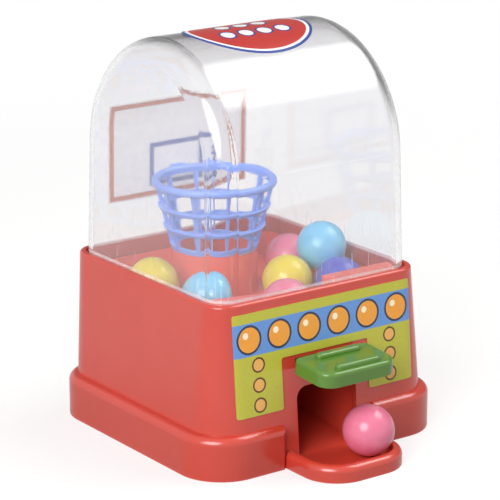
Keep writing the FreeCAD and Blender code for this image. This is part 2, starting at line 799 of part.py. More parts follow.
def make_hoop_net():
    """Hoop ring, its bracket on the board, and the tapered lattice net that stands on the collar."""
    body = new_body("hoop_net")
    foot = S.collar_top + S.film_gap
    ring_low = S.hoop_height - S.hoop_tall / 2
    ring_high = S.hoop_height + S.hoop_tall / 2
    ring_in = S.hoop_radius - S.hoop_width
    net_top_radius = S.hoop_radius - S.net_inset
    first_bar = foot + S.net_low_row
    second_bar = first_bar + S.net_middle_row

    def net_radius(height):
        return S.collar_radius + (net_top_radius - S.collar_radius) / (ring_low - foot) * (height - foot)

    sketch = new_sketch(body, "net_profile", FRONT_TO_BACK)
    outline = [(S.collar_radius - S.net_wall, foot), (S.collar_radius, foot)]
    for low in (first_bar, second_bar):
        high = low + S.net_bar
        outline.append((net_radius(low), low))
        outline.append((net_radius(low) + S.net_bulge, low + S.net_bar / 4))
        outline.append((net_radius(high) + S.net_bulge, high - S.net_bar / 4))
        outline.append((net_radius(high), high))
    outline += round_corners([
        (net_top_radius, ring_low, None), (S.hoop_radius, ring_low, S.hoop_edge),
        (S.hoop_radius, ring_high, S.hoop_edge), (ring_in, ring_high, S.hoop_edge),
        (ring_in, ring_low, None)])
    trace(sketch, outline)
    basket = body.newObject("PartDesign::Revolution", "basket")
    basket.Profile = sketch
    basket.ReferenceAxis = (sketch, ["V_Axis"])
    basket.Angle = 360
    doc.recompute()

    half_step = math.tan(math.pi / SIZES["net_ribs"])
    sketch = new_sketch(body, "windows", ACROSS)
    for bar, high in ((foot, first_bar), (first_bar, second_bar), (second_bar, ring_low)):
        low = bar + S.net_bar
        half = net_radius(low) * half_step - S.rib_width / 2
        trace(sketch, rectangle(-half, half, low, high))
    windows = pocket(body, sketch, S.hoop_radius, backwards=True)
    lattice = body.newObject("PartDesign::PolarPattern", "lattice")
    lattice.Originals = [windows]
    lattice.Axis = (origin_feature(body, "Z_Axis"), [""])
    lattice.Angle = 360
    bind(lattice, "Occurrences", S.net_ribs)
    body.Tip = lattice
    doc.recompute()

    bracket_top = S.hoop_height + S.bracket_tall / 2
    bracket_back = wall_inside(bracket_top, S.film_gap * 2 + S.board_thick) - hoop_y
    half = S.bracket_width / 2
    sketch = new_sketch(body, "bracket", ACROSS, -bracket_back)
    trace(sketch, rectangle(-half, half, S.hoop_height - S.bracket_tall / 2, bracket_top, S.hoop_edge))
    pad(body, sketch, S.hoop_width * 2 / 3)
    place(body, 0, hoop_y, 0)
    return body


def make_lever():
    """Green thumb lever: ribbed pad, neck through the slot, hub on the pin, arm with a dished spoon.

    Drawn level about its own pivot, then set at the pivot with its resting tilt.
    """
    body = new_body("lever")
    half = S.pad_width / 2
    sketch = new_sketch(body, "thumb_pad", LEVEL, S.pad_low)
    trace(sketch, round_corners([
        (-half, -S.pad_front, S.pad_corner), (half, -S.pad_front, S.pad_corner),
        (half, -S.pad_back, S.pad_back_corner), (-half, -S.pad_back, S.pad_back_corner)]))
    pad(body, sketch, S.pad_thick)
    top = pad_high.value
    fillet(body, S.pad_edge, lambda box: box.ZMin > top - 0.01)
    end = S.grip_width / 2
    reach = S.grip_length / 2
    sketch = new_sketch(body, "grips", LEVEL, pad_high - S.grip_height)
    for middle in (-S.grip_first, -S.grip_second):
        trace(sketch, [
            (reach - end, middle - end), (reach, middle, end, 1), (reach - end, middle + end, end, 1),
            (end - reach, middle + end), (-reach, middle, end, 1), (end - reach, middle - end, end, 1)])
    pad(body, sketch, S.grip_height * 2)
    crest = (pad_high + S.grip_height).value
    fillet(body, S.grip_edge, lambda box: box.ZMin > crest - 0.01)

    neck = S.neck_width / 2
    sketch = new_sketch(body, "neck", LEVEL, S.neck_low)
    trace(sketch, rectangle(-neck, neck, -S.pad_back - S.pad_corner, 0))
    pad(body, sketch, S.neck_high - S.neck_low)
    sketch = new_sketch(body, "hub", FRONT_TO_BACK)
    circle(sketch, 0, 0, S.hub_radius)
    pad(body, sketch, hub_half * 2, symmetric=True)
    arm = S.arm_width / 2
    sketch = new_sketch(body, "arm", LEVEL, -S.arm_low)
    trace(sketch, rectangle(-arm, arm, 0, S.spoon_back))
    pad(body, sketch, S.arm_low + S.arm_high)
    sketch = new_sketch(body, "spoon", LEVEL)
    circle(sketch, 0, S.spoon_back, S.spoon_radius)
    pad(body, sketch, S.spoon_high)
    dish = body.newObject("PartDesign::SubtractiveSphere", "dish")
    bind(dish, "Radius", S.gumball / 2 + S.slip_fit)
    place(dish, 0, S.spoon_back, dish_centre)
    doc.recompute()

    peg_start = arm - S.peg_radius
    sketch = new_sketch(body, "spring_peg", FRONT_TO_BACK, peg_start)
    circle(sketch, S.peg_back, -S.peg_drop, S.peg_radius)
    pad(body, sketch, S.spring_side + S.peg_radius - peg_start)
    sketch = new_sketch(body, "pin_bore", FRONT_TO_BACK)
    circle(sketch, 0, 0, S.pin_radius + S.running_fit)
    pocket(body, sketch, S.plinth_width, symmetric=True)
    body.Placement = FreeCAD.Placement(
        FreeCAD.Vector(0, 0, 0), FreeCAD.Rotation(FreeCAD.Vector(1, 0, 0), SIZES["lever_tilt"]))
    bind(body, "Placement.Rotation.Angle", S.lever_tilt)
    place(body, 0, -S.pivot_front, S.pivot_height)
    return body


def lie_along_x(thing, half_length, y, z):
    """Turn an upright primitive to lie along X, centred on the middle plane."""
    thing.Placement = FreeCAD.Placement(
        FreeCAD.Vector(0, 0, 0), FreeCAD.Rotation(FreeCAD.Vector(0, 1, 0), 90))
    bind(thing, "Height", half_length * 2)
    place(thing, -half_length, y, z)
    return thing


def make_pivot_pin():
    """Steel pin held in the bed's lugs; the lever turns on it."""
    pin = doc.addObject("Part::Cylinder", "pivot_pin")
    bind(pin, "Radius", S.pin_radius)
    return lie_along_x(pin, S.lug_inner + S.lug_thick + S.pin_proud, -S.pivot_front, S.pivot_height)


def make_return_spring():
    """Extension spring: one arched hook over the lever's peg, the other under the plate's peg."""
    depth, peg_height = lever_point(S.peg_back, -S.peg_drop)
    radius = S.spring_radius.value
    wire = S.spring_wire.value
    reach = (S.spring_radius - S.spring_wire - S.peg_radius - S.running_fit).value
    low = S.anchor_height.value + reach
    length = peg_height.value - reach - low
    path = Part.makeHelix(length / SIZES["spring_turns"], length, radius)
    section = Part.Wire(Part.makeCircle(wire, FreeCAD.Vector(radius, 0, 0), FreeCAD.Vector(0, 1, 0)))
    coil = path.makePipeShell([section], True, True)
    ends = []
    for height, way in ((0, 1), (length, -1)):
        start = FreeCAD.Vector(radius, 0, height)
        ring = Part.Face(Part.Wire(Part.makeCircle(wire, start, FreeCAD.Vector(0, 0, 1))))
        ends.append(ring.revolve(FreeCAD.Vector(0, 0, height), FreeCAD.Vector(0, way, 0), 180))
        ends.append(Part.makeSphere(wire * 1.1, start))
    spring = doc.addObject("Part::Feature", "return_spring")
    spring.Shape = coil.multiFuse(ends)
    spring.Placement = FreeCAD.Placement(
        FreeCAD.Vector(S.spring_side.value, depth.value, low), FreeCAD.Rotation(FreeCAD.Vector(0, 0, 1), 90))
    return spring


def make_front_label():
    """Thin label on the front wall: an upside-down U round the lever, bent a little round both corners."""
    body = new_body("front_label")
    outside = S.film_gap + S.label_thick
    loft(body, body_section(body, "label_floor", None, outside),
         body_section(body, "label_rim", S.rim_height, outside))
    loft(body, body_section(body, "backing_floor", None, S.film_gap),
         body_section(body, "backing_rim", S.rim_height, S.film_gap), subtract=True)
    half = S.label_half
    gap = S.label_gap_half
    gap_high = S.pivot_height + S.label_gap_high
    corner = S.label_corner
    sketch = new_sketch(body, "label_outline", ACROSS)
    trace(sketch, rectangle(-BEYOND, BEYOND, -BEYOND, BEYOND))
    trace(sketch, round_corners([
        (-half, S.label_low, corner), (-gap, S.label_low, corner),
        (-gap, gap_high, corner), (gap, gap_high, corner),
        (gap, S.label_low, corner), (half, S.label_low, corner),
        (half, S.label_high, corner), (-half, S.label_high, corner)]))
    pocket(body, sketch, BEYOND, symmetric=True)
    sketch = new_sketch(body, "back_half", LEVEL, S.rim_height)
    trace(sketch, rectangle(-BEYOND, BEYOND, S.body_corner_floor * 2 - S.body_front_floor, BEYOND))
    pocket(body, sketch, BEYOND)
    return body


def make_top_label():
    """Thin oval label bent over the crest of the vault."""
    skins = []
    for name, radius in (("oval_outside", S.film_gap + S.label_thick), ("oval_inside", S.film_gap)):
        skin = doc.addObject("Part::Cylinder", name)
        bind(skin, "Radius", vault_radius + radius)
        skins.append(lie_along_x(skin, S.oval_half_length + 1, dome_middle, vault_centre))
    shell = doc.addObject("Part::Cut", "oval_shell")
    shell.Base, shell.Tool = skins
    oval = doc.addObject("Part::Ellipse", "oval")
    bind(oval, "MajorRadius", S.oval_half_length)
    bind(oval, "MinorRadius", S.oval_half_width)
    place(oval, 0, dome_middle - S.oval_forward, vault_centre)
    prism = doc.addObject("Part::Extrusion", "oval_prism")
    prism.Base = oval
    prism.DirMode = "Custom"
    prism.Dir = FreeCAD.Vector(0, 0, 1)
    bind(prism, "LengthFwd", vault_radius * 2)
    prism.Solid = True
    label = doc.addObject("Part::Common", "top_label")
    label.Base = shell
    label.Tool = prism
    return label


def new_gumball(name, x, y, z):
    ball = doc.addObject("Part::Sphere", name)
    bind(ball, "Radius", S.gumball / 2)
    place(ball, x, y, z)
    return ball


def square(amount):
    return amount * amount


def leaning_on(left, right, apart):
    """Plan place behind two gumballs, at the same distance from both."""
    across = right[0] - left[0]
    along = right[1] - left[1]
    length = (square(across) + square(along)).root()
    behind = (square(apart) - square(length) / 4).root() / length
    return (left[0] + right[0]) / 2 - along * behind, (left[1] + right[1]) / 2 + across * behind


def make_gumballs():
    """Gumballs that lie on the bed, one in the lever's spoon and one out on the tray."""
    radius = S.gumball / 2
    apart = S.gumball + S.ball_gap
    lift = radius * (square(bed_slope) + 1).root() + S.ball_rest
    wall = bed_in_half - radius
    spoon_y, spoon_z = lever_point(S.spoon_back, dish_centre)
    violet = (wall - S.violet_wall_gap, radius + S.slip_fit - S.shelf_back)
    # The pink one lies midway between the net's collar and the side wall.
    collar_side = (square(S.collar_radius + radius) - square(hoop_y - S.pink_behind)).root()
    pink = ((collar_side + wall) / 2, S.pink_behind)
    on_bed = {
        "gumball_yellow_left": (S.yellow_wall_gap - wall, S.yellow_behind),
        "gumball_blue_front": (S.blue_wall_gap - wall, -S.blue_before),
        "gumball_yellow_front": leaning_on((size(0), spoon_y), violet, apart),
        "gumball_pink_back": pink,
        "gumball_violet": violet,
    }
    balls = [new_gumball(name, x, y, bed_top(y) + lift) for name, (x, y) in on_bed.items()]
    # One more lies against the pink one, above the violet one.
    top_x = wall - S.top_wall_gap
    reach = square(top_x - pink[0]) + square(pink[1] + S.top_before)
    climb = (square(S.gumball + S.ball_rest) - reach).root()
    balls.append(new_gumball("gumball_blue_top", top_x, -S.top_before, bed_top(pink[1]) + lift + climb))
    balls.append(new_gumball("gumball_on_spoon", 0, spoon_y, spoon_z))
    balls.append(new_gumball(
        "gumball_on_tray", S.tray_ball_side, -S.tray_ball_front, S.tray_floor + radius + S.ball_rest))
    return balls


def export_all(pieces):
    """Stop on any failed object or bad shape, then write one file for each piece."""
    for thing in doc.Objects:
        if "Invalid" in thing.State or "Error" in thing.State:
            raise RuntimeError(f"{thing.Name} failed: {thing.State}")
    for piece in pieces:
        if piece.Shape.isNull() or not piece.Shape.isValid():
            raise RuntimeError(f"{piece.Label} has no valid shape")
    os.makedirs("parts", exist_ok=True)
    for piece in pieces:
        piece.Shape.exportStep(f"parts/{piece.Label}.step")
        print(piece.Label, len(piece.Shape.Solids), round(piece.Shape.Volume, 2))


def main():
    pieces = [
        make_housing(), make_base_plate(), make_base_screws(), make_chute_tray(), make_ball_bed(),
        make_dome(), make_backboard(), make_hoop_net(), make_lever(), make_pivot_pin(),
        make_return_spring(), make_front_label(), make_top_label()]
    pieces += make_gumballs()
    doc.recompute()
    export_all(pieces)


main()
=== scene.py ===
"""Looks of the desk-top gumball machine: its materials and prints, and a plain studio round it.

Metres, in the model's own frame: +Z is up and the front looks along -Y. Patterns are written in millimetres.
"""

import bmesh
import bpy
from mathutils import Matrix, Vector


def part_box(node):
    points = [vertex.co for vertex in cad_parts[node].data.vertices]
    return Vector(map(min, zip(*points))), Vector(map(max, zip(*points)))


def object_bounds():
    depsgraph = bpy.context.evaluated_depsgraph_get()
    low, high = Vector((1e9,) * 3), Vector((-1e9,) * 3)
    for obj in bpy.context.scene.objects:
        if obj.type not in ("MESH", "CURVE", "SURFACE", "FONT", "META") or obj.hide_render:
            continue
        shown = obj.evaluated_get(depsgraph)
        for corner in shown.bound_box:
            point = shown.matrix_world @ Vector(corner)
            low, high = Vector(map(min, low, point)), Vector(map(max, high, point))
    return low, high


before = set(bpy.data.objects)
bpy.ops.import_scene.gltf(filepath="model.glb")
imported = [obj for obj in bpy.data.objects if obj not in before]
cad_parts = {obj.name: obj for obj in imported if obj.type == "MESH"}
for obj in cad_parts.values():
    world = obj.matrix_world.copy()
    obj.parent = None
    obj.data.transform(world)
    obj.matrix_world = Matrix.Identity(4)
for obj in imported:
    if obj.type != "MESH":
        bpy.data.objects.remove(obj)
cad_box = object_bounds()

MM = 0.001
PER_METRE = 1000.0

# Inputs and output of a colour Mix node, which share their names with its other kinds.
FACTOR, BELOW, ABOVE, MIXED = 0, 6, 7, 2


def linear(hex_colour):
    """Turn an sRGB hex colour into the linear one that a shader takes."""
    parts = [int(hex_colour[i:i + 2], 16) / 255 for i in (1, 3, 5)]
    return [c / 12.92 if c <= 0.04045 else ((c + 0.055) / 1.055) ** 2.4 for c in parts] + [1.0]


def add(tree, kind, inputs=(), **settings):
    """Add a node and give its outputs. An input is a plain value or the socket that feeds it."""
    node = tree.nodes.new("ShaderNode" + kind)
    for name, value in settings.items():
        setattr(node, name, value)
    for name, value in dict(inputs).items():
        if isinstance(value, bpy.types.NodeSocket):
            tree.links.new(value, node.inputs[name])
        else:
            node.inputs[name].default_value = value
    return node.outputs


def new_material(name):
    """Give a material, its empty tree and the point on the piece in millimetres."""
    material = bpy.data.materials.new(name)
    material.use_nodes = True
    tree = material.node_tree
    tree.nodes.clear()
    place = add(tree, "TexCoord")["Object"]
    point = add(tree, "Mapping", {"Vector": place, "Scale": [PER_METRE] * 3})["Vector"]
    return material, tree, point


def lay_colours(tree, ground, layers):
    """Lay colours over a ground, the last one uppermost. A layer is its mask and its hex colour."""
    for mask, ink in layers:
        ground = add(tree, "Mix", {FACTOR: mask, BELOW: ground, ABOVE: linear(ink)}, data_type="RGBA")[MIXED]
    return ground


def coat_node(node, material):
    """Give one node of the model a new finish."""
    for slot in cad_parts[node].material_slots:
        slot.material = material


# Moulded plastics. The grain that a mould leaves is drawn coarser than in life, so that it shows.

def moulded_plastic(name, colours, roughness, ior, flow_mm, grain_mm, grain_deep, glow, shine=0.5):
    """Injection-moulded plastic: flow marks shift colour and gloss, a fine grain softens the highlights."""
    material, tree, point = new_material(name)
    flow = add(tree, "TexNoise", {"Vector": point, "Scale": 1 / flow_mm, "Detail": 4.0})["Fac"]
    colour = lay_colours(tree, linear(colours[0]), [(flow, colours[1])])
    smear = add(tree, "TexNoise", {"Vector": point, "Scale": 3 / flow_mm, "Detail": 6.0})["Fac"]
    gloss = add(tree, "MapRange", {
        "Value": smear, "From Min": 0.3, "From Max": 0.7,
        "To Min": roughness * 0.85, "To Max": roughness * 1.2})["Result"]
    grain = add(tree, "TexNoise", {"Vector": point, "Scale": 1 / grain_mm, "Detail": 2.0})["Fac"]
    sink = add(tree, "Bump", {"Height": flow, "Strength": 0.5, "Distance": 0.05 * MM})["Normal"]
    normal = add(tree, "Bump", {
        "Height": grain, "Strength": 0.4, "Distance": grain_deep * MM, "Normal": sink})["Normal"]
    shader = add(tree, "BsdfPrincipled", {
        "Base Color": colour, "Roughness": gloss, "IOR": ior, "Specular IOR Level": shine, "Normal": normal,
        "Subsurface Weight": glow, "Subsurface Radius": (1.0, 0.6, 0.5), "Subsurface Scale": 1.0 * MM})
    add(tree, "OutputMaterial", {"Surface": shader["BSDF"]})
    return material


def red_abs(name, colours):
    """Red ABS, satin from a fine-spark mould: broad soft highlights along the rounded edges."""
    return moulded_plastic(
        name, colours, roughness=0.2, ior=1.54,
        flow_mm=16, grain_mm=0.5, grain_deep=0.003, glow=0.0, shine=0.62)


def green_polypropylene():
    """Mid-green polypropylene from a polished mould: waxy, a little translucent, bright along the ribs."""
    return moulded_plastic(
        "moulded_green_polypropylene", ("#527c2c", "#5f8938"), roughness=0.18, ior=1.49,
        flow_mm=9, grain_mm=0.6, grain_deep=0.004, glow=0.15)


def blue_polypropylene():
    """Periwinkle polypropylene, thin enough in the net for light to glow through."""
    return moulded_plastic(
        "moulded_blue_polypropylene", ("#7f9ff2", "#90affa"), roughness=0.32, ior=1.49,
        flow_mm=7, grain_mm=0.5, grain_deep=0.004, glow=0.3)


def clear_polystyrene():
    """Clear moulded polystyrene: grey through its thick edges, wavy, finely scratched, with a painted glint
    line along its foot.

    Lamps shine straight through it on to what it covers.
    """
    glint_above = 0.25
    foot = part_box("housing")[1].z * PER_METRE
    material, tree, point = new_material("clear_polystyrene")
    wave = add(tree, "TexNoise", {"Vector": point, "Scale": 1 / 22, "Detail": 1.0})["Fac"]
    normal = add(tree, "Bump", {"Height": wave, "Strength": 0.25, "Distance": 0.3 * MM})["Normal"]
    drawn = add(tree, "Mapping", {"Vector": point, "Scale": (0.9, 0.9, 0.05)})["Vector"]
    streak = add(tree, "TexNoise", {"Vector": drawn, "Scale": 1.0, "Detail": 3.0})["Fac"]
    gloss = add(tree, "MapRange", {
        "Value": streak, "From Min": 0.4, "From Max": 0.7, "To Min": 0.015, "To Max": 0.075})["Result"]

    # Milky in a line along the housing's rim, which is a painted glint at the dome's foot, and in hairline
    # scratches that thin out away from it.
    up = add(tree, "SeparateXYZ", {"Vector": point})["Z"]
    from_foot = add(tree, "Math", {0: up, 1: foot + glint_above}, operation="SUBTRACT")["Value"]
    off_foot = add(tree, "Math", {0: from_foot}, operation="ABSOLUTE")["Value"]
    # Painted glint: a broken milky white line just above the rim stands in for the bright line where the dome
    # meets it.
    foot_glint = add(tree, "MapRange", {
        "Value": off_foot, "From Min": 0.1, "From Max": 0.55, "To Min": 0.45, "To Max": 0.0})["Result"]
    glint_noise = add(tree, "TexNoise", {"Vector": drawn, "Scale": 0.35, "Detail": 4.0})["Fac"]
    glint_broken = add(tree, "MapRange", {
        "Value": glint_noise, "From Min": 0.3, "From Max": 0.65, "To Min": 0.6})["Result"]
    glint_line = add(tree, "Math", {0: foot_glint, 1: glint_broken, 2: 0.025}, operation="MULTIPLY_ADD")["Value"]
    hair = add(tree, "TexNoise", {"Vector": drawn, "Scale": 2.4, "Detail": 1.0})["Fac"]
    scored = add(tree, "MapRange", {
        "Value": hair, "From Min": 0.68, "From Max": 0.74, "To Max": 0.3})["Result"]
    handled = add(tree, "MapRange", {
        "Value": off_foot, "From Min": 3.0, "From Max": 14.0, "To Min": 1.0, "To Max": 0.0})["Result"]
    milky = add(tree, "Math", {0: scored, 1: handled, 2: glint_line}, operation="MULTIPLY_ADD")["Value"]
    clarity = add(tree, "Math", {0: 1.0, 1: milky}, operation="SUBTRACT")["Value"]

    wall = add(tree, "BsdfPrincipled", {
        "Base Color": linear("#fdfdfe"), "Roughness": gloss, "IOR": 1.59, "Specular IOR Level": 0.3,
        "Transmission Weight": clarity, "Normal": normal})["BSDF"]
    path = add(tree, "LightPath")
    lighting = add(tree, "Math", {
        0: path["Is Shadow Ray"], 1: path["Is Diffuse Ray"]}, operation="MAXIMUM")["Value"]
    pane = add(tree, "BsdfTransparent", {"Color": linear("#fdfdfd")})["BSDF"]
    surface = add(tree, "MixShader", {0: lighting, 1: wall, 2: pane})["Shader"]
    depth = add(tree, "VolumeAbsorption", {"Color": linear("#bfbdbd"), "Density": 54.0})["Volume"]
    add(tree, "OutputMaterial", {"Surface": surface, "Volume": depth})
    return material


# Metal and sugar.

def cross_recess(tree, point, head_mm):
    """Mask of the cross driven into each of the four screw heads, which have this radius. The cross is not
    cut; it is only painted dark, as painted shade.
    """
    arm_half = 0.32
    arm_reach = 1.3
    low, high = (corner * PER_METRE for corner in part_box("base_screws"))
    half = (high - low) / 2
    axis = (half.x - head_mm, half.y - head_mm, 0)
    moved = add(tree, "VectorMath", {0: point, 1: (low + high) / 2}, operation="SUBTRACT")["Vector"]
    folded = add(tree, "VectorMath", {0: moved}, operation="ABSOLUTE")["Vector"]
    off = add(tree, "VectorMath", {0: folded, 1: axis}, operation="SUBTRACT")["Vector"]
    away = add(tree, "VectorMath", {0: off}, operation="ABSOLUTE")["Vector"]
    arms = add(tree, "SeparateXYZ", {"Vector": away})
    across = add(tree, "Math", {0: arms["X"], 1: arms["Y"]}, operation="MINIMUM")["Value"]
    along = add(tree, "Math", {0: arms["X"], 1: arms["Y"]}, operation="MAXIMUM")["Value"]
    narrow = add(tree, "Math", {0: across, 1: arm_half}, operation="LESS_THAN")["Value"]
    short = add(tree, "Math", {0: along, 1: arm_reach}, operation="LESS_THAN")["Value"]
    return add(tree, "Math", {0: narrow, 1: short}, operation="MULTIPLY")["Value"]


def zinc_plated_steel(name, head_mm=None):
    """Zinc-plated steel wire, pins and screws: pale grey metal with a faint crystal bloom."""
    material, tree, point = new_material(name)
    bloom = add(tree, "TexNoise", {"Vector": point, "Scale": 1 / 1.5, "Detail": 4.0})["Fac"]
    layers = [(bloom, "#c6c9cc")]
    if head_mm:
        # Painted shade: the cross recess in each screw head is drawn only as a dark colour.
        layers.append((cross_recess(tree, point, head_mm), "#3b3d41"))
    colour = lay_colours(tree, linear("#a9adb2"), layers)
    gloss = add(tree, "MapRange", {"Value": bloom, "To Min": 0.2, "To Max": 0.4})["Result"]
    shader = add(tree, "BsdfPrincipled", {"Base Color": colour, "Metallic": 1.0, "Roughness": gloss})
    add(tree, "OutputMaterial", {"Surface": shader["BSDF"]})
    return material


def sugar_shell(name, colours):
    """Panned sugar shell of a gumball: polished with wax, faintly mottled and dimpled like orange peel."""
    material, tree, point = new_material(name)
    mottle = add(tree, "TexNoise", {"Vector": point, "Scale": 1 / 3.0, "Detail": 5.0})["Fac"]
    colour = lay_colours(tree, linear(colours[0]), [(mottle, colours[1])])
    gloss = add(tree, "MapRange", {"Value": mottle, "To Min": 0.12, "To Max": 0.24})["Result"]
    peel = add(tree, "TexNoise", {"Vector": point, "Scale": 1 / 1.4, "Detail": 1.0})["Fac"]
    normal = add(tree, "Bump", {"Height": peel, "Strength": 0.3, "Distance": 0.04 * MM})["Normal"]
    shader = add(tree, "BsdfPrincipled", {
        "Base Color": colour, "Roughness": gloss, "IOR": 1.5, "Normal": normal,
        "Subsurface Weight": 0.3, "Subsurface Radius": (1.0, 0.8, 0.7), "Subsurface Scale": 1.5 * MM})
    add(tree, "OutputMaterial", {"Surface": shader["BSDF"]})
    return material


# Prints on film. Each is drawn in the plane of its label, in millimetres.

def dot_distance(tree, across, along, pitch, row, shift=0.0):
    """Distance to the nearest dot of a row."""
    moved = add(tree, "Math", {0: across, 1: shift}, operation="SUBTRACT")["Value"]
    wrapped = add(tree, "Math", {0: moved, 1: pitch / 2, 2: -pitch / 2}, operation="WRAP")["Value"]
    off = add(tree, "Math", {0: along, 1: row}, operation="SUBTRACT")["Value"]
    flat = add(tree, "CombineXYZ", {"X": wrapped, "Y": off})["Vector"]
    return add(tree, "VectorMath", {0: flat}, operation="LENGTH")["Value"]


def glossy_print(tree, point, colour):
    """Varnished print: the ink's screen varies its tone, and the film under it lies a little wavy.

    The screen is drawn coarser than in life, so that it shows.
    """
    tone = add(tree, "TexNoise", {"Vector": point, "Scale": 1 / 0.8, "Detail": 3.0})["Fac"]
    shade = add(tree, "MapRange", {"Value": tone, "To Min": 0.92, "To Max": 1.06})["Result"]
    inked = add(tree, "HueSaturation", {"Color": colour, "Value": shade})["Color"]
    swell = add(tree, "TexNoise", {"Vector": point, "Scale": 1 / 9.0, "Detail": 1.0})["Fac"]
    normal = add(tree, "Bump", {"Height": swell, "Strength": 0.3, "Distance": 0.1 * MM})["Normal"]
    gloss = add(tree, "MapRange", {"Value": tone, "To Min": 0.24, "To Max": 0.4})["Result"]
    shader = add(tree, "BsdfPrincipled", {
        "Base Color": inked, "Roughness": gloss, "IOR": 1.5, "Normal": normal})
    add(tree, "OutputMaterial", {"Surface": shader["BSDF"]})


def front_print():
    """Lime label with a blue band, a row of orange gumballs on it and smaller ones down the two legs."""
    band_drop = 6.4
    band_half = 4.0
    ball_pitch = 8.9
    glint_up = 1.1
    glint_left = 1.0
    leg_balls = 3
    leg_inner = 13.1
    leg_gap = 0.4

    low, high = (corner * PER_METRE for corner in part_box("front_label"))
    material, tree, point = new_material("printed_vinyl_front")
    axes = add(tree, "SeparateXYZ", {"Vector": point})
    across, up = axes["X"], axes["Z"]
    band_middle = high.z - band_drop
    band = add(tree, "Math", {0: up, 1: band_middle, 2: band_half}, operation="COMPARE")["Value"]
    inks = [(band, "#6795d7")]

    ball = dot_distance(tree, across, up, ball_pitch, band_middle, ball_pitch / 2)
    glint = dot_distance(tree, across, up, ball_pitch, band_middle + glint_up, ball_pitch / 2 - glint_left)
    for distance, reach, ink in ((ball, 3.6, "#24304a"), (ball, 3.05, "#f0a13c"), (glint, 0.8, "#fff1cf")):
        inks.append((add(tree, "Math", {0: distance, 1: reach}, operation="LESS_THAN")["Value"], ink))

    side = add(tree, "Math", {0: across}, operation="ABSOLUTE")["Value"]
    legs_top = band_middle - band_half - leg_gap
    below = add(tree, "Math", {0: up, 1: legs_top}, operation="LESS_THAN")["Value"]
    leg_pitch = (band_middle - band_half - low.z) / leg_balls
    leg_middle = (high.x + leg_inner) / 2
    leg = dot_distance(tree, up, side, leg_pitch, leg_middle, low.z + leg_pitch / 2)
    for reach, ink in ((1.9, "#5a3a1c"), (1.45, "#e9b05f")):
        near = add(tree, "Math", {0: leg, 1: reach}, operation="LESS_THAN")["Value"]
        inks.append((add(tree, "Math", {0: near, 1: below}, operation="MULTIPLY")["Value"], ink))
    glossy_print(tree, point, lay_colours(tree, linear("#bdbb41"), inks))
    return material


def top_print():
    """Red oval with a white and a blue ring, and rows of three and four white dots."""
    dot_pitch = 5.4
    row_off = 3.2
    white = "#eceae6"

    low, high = (corner * PER_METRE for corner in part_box("top_label"))
    middle = (low + high) / 2
    half = (high - low) / 2
    material, tree, point = new_material("printed_vinyl_top")
    flat = add(tree, "Mapping", {
        "Vector": point, "Scale": (1 / half.x, 1 / half.y, 0),
        "Location": (-middle.x / half.x, -middle.y / half.y, 0)})["Vector"]
    ring = add(tree, "VectorMath", {0: flat}, operation="LENGTH")["Value"]
    inks = []
    for reach, ink in ((0.955, white), (0.905, "#b8322b")):
        inks.append((add(tree, "Math", {0: ring, 1: reach}, operation="LESS_THAN")["Value"], ink))

    axes = add(tree, "SeparateXYZ", {"Vector": point})
    side = add(tree, "Math", {0: axes["X"]}, operation="ABSOLUTE")["Value"]
    for count, row in ((3, middle.y + row_off), (4, middle.y - row_off)):
        row_half = count * dot_pitch / 2
        shift = 0.0 if count % 2 else dot_pitch / 2
        inside = add(tree, "Math", {0: side, 1: row_half}, operation="LESS_THAN")["Value"]
        dots = dot_distance(tree, axes["X"], axes["Y"], dot_pitch, row, shift)
        for reach, ink in ((2.3, "#2b3d86"), (1.8, white)):
            near = add(tree, "Math", {0: dots, 1: reach}, operation="LESS_THAN")["Value"]
            inks.append((add(tree, "Math", {0: near, 1: inside}, operation="MULTIPLY")["Value"], ink))
    glossy_print(tree, point, lay_colours(tree, linear("#2f4596"), inks))
    return material


def inset_line(tree, across, up, box, start, width):
    """Mask of a line of a width that runs round inside a rectangle, a distance in from its edges."""
    half, low, high = box
    side = add(tree, "Math", {0: across}, operation="ABSOLUTE")["Value"]
    from_side = add(tree, "Math", {0: half, 1: side}, operation="SUBTRACT")["Value"]
    off = add(tree, "Math", {0: up, 1: (low + high) / 2}, operation="SUBTRACT")["Value"]
    level = add(tree, "Math", {0: off}, operation="ABSOLUTE")["Value"]
    from_end = add(tree, "Math", {0: (high - low) / 2, 1: level}, operation="SUBTRACT")["Value"]
    inside = add(tree, "Math", {0: from_side, 1: from_end}, operation="MINIMUM")["Value"]
    return add(tree, "Math", {0: inside, 1: start + width / 2, 2: width / 2}, operation="COMPARE")["Value"]


def board_print():
    """Milky clear film printed with an orange-red border and a blue target square, in streaky ink."""
    line_width = 1.2
    border_inset = 0.4
    target_half = 8.2
    target_foot = 2.9
    target_head = 14.2

    low, high = (corner * PER_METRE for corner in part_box("backboard"))
    material, tree, point = new_material("printed_clear_film")
    axes = add(tree, "SeparateXYZ", {"Vector": point})
    across, up = axes["X"], axes["Z"]
    border = inset_line(tree, across, up, (high.x, low.z, high.z), border_inset, line_width)
    square = (target_half, low.z + target_foot, low.z + target_head)
    target = inset_line(tree, across, up, square, 0.0, line_width)
    colour = lay_colours(tree, linear("#f2eef4"), [(border, "#cf6a48"), (target, "#5663b2")])
    inked = add(tree, "Math", {0: border, 1: target}, operation="MAXIMUM")["Value"]
    streak = add(tree, "TexNoise", {"Vector": point, "Scale": 1 / 2.0, "Detail": 4.0})["Fac"]
    film = add(tree, "MapRange", {"Value": streak, "To Min": 0.22, "To Max": 0.4})["Result"]
    ink = add(tree, "MapRange", {"Value": streak, "To Min": 0.55, "To Max": 0.75})["Result"]
    cover = add(tree, "Mix", {0: inked, 2: film, 3: ink}, data_type="FLOAT")[0]
    shader = add(tree, "BsdfPrincipled", {"Base Color": colour, "Roughness": 0.3, "IOR": 1.5, "Alpha": cover})
    add(tree, "OutputMaterial", {"Surface": shader["BSDF"]})
    return material


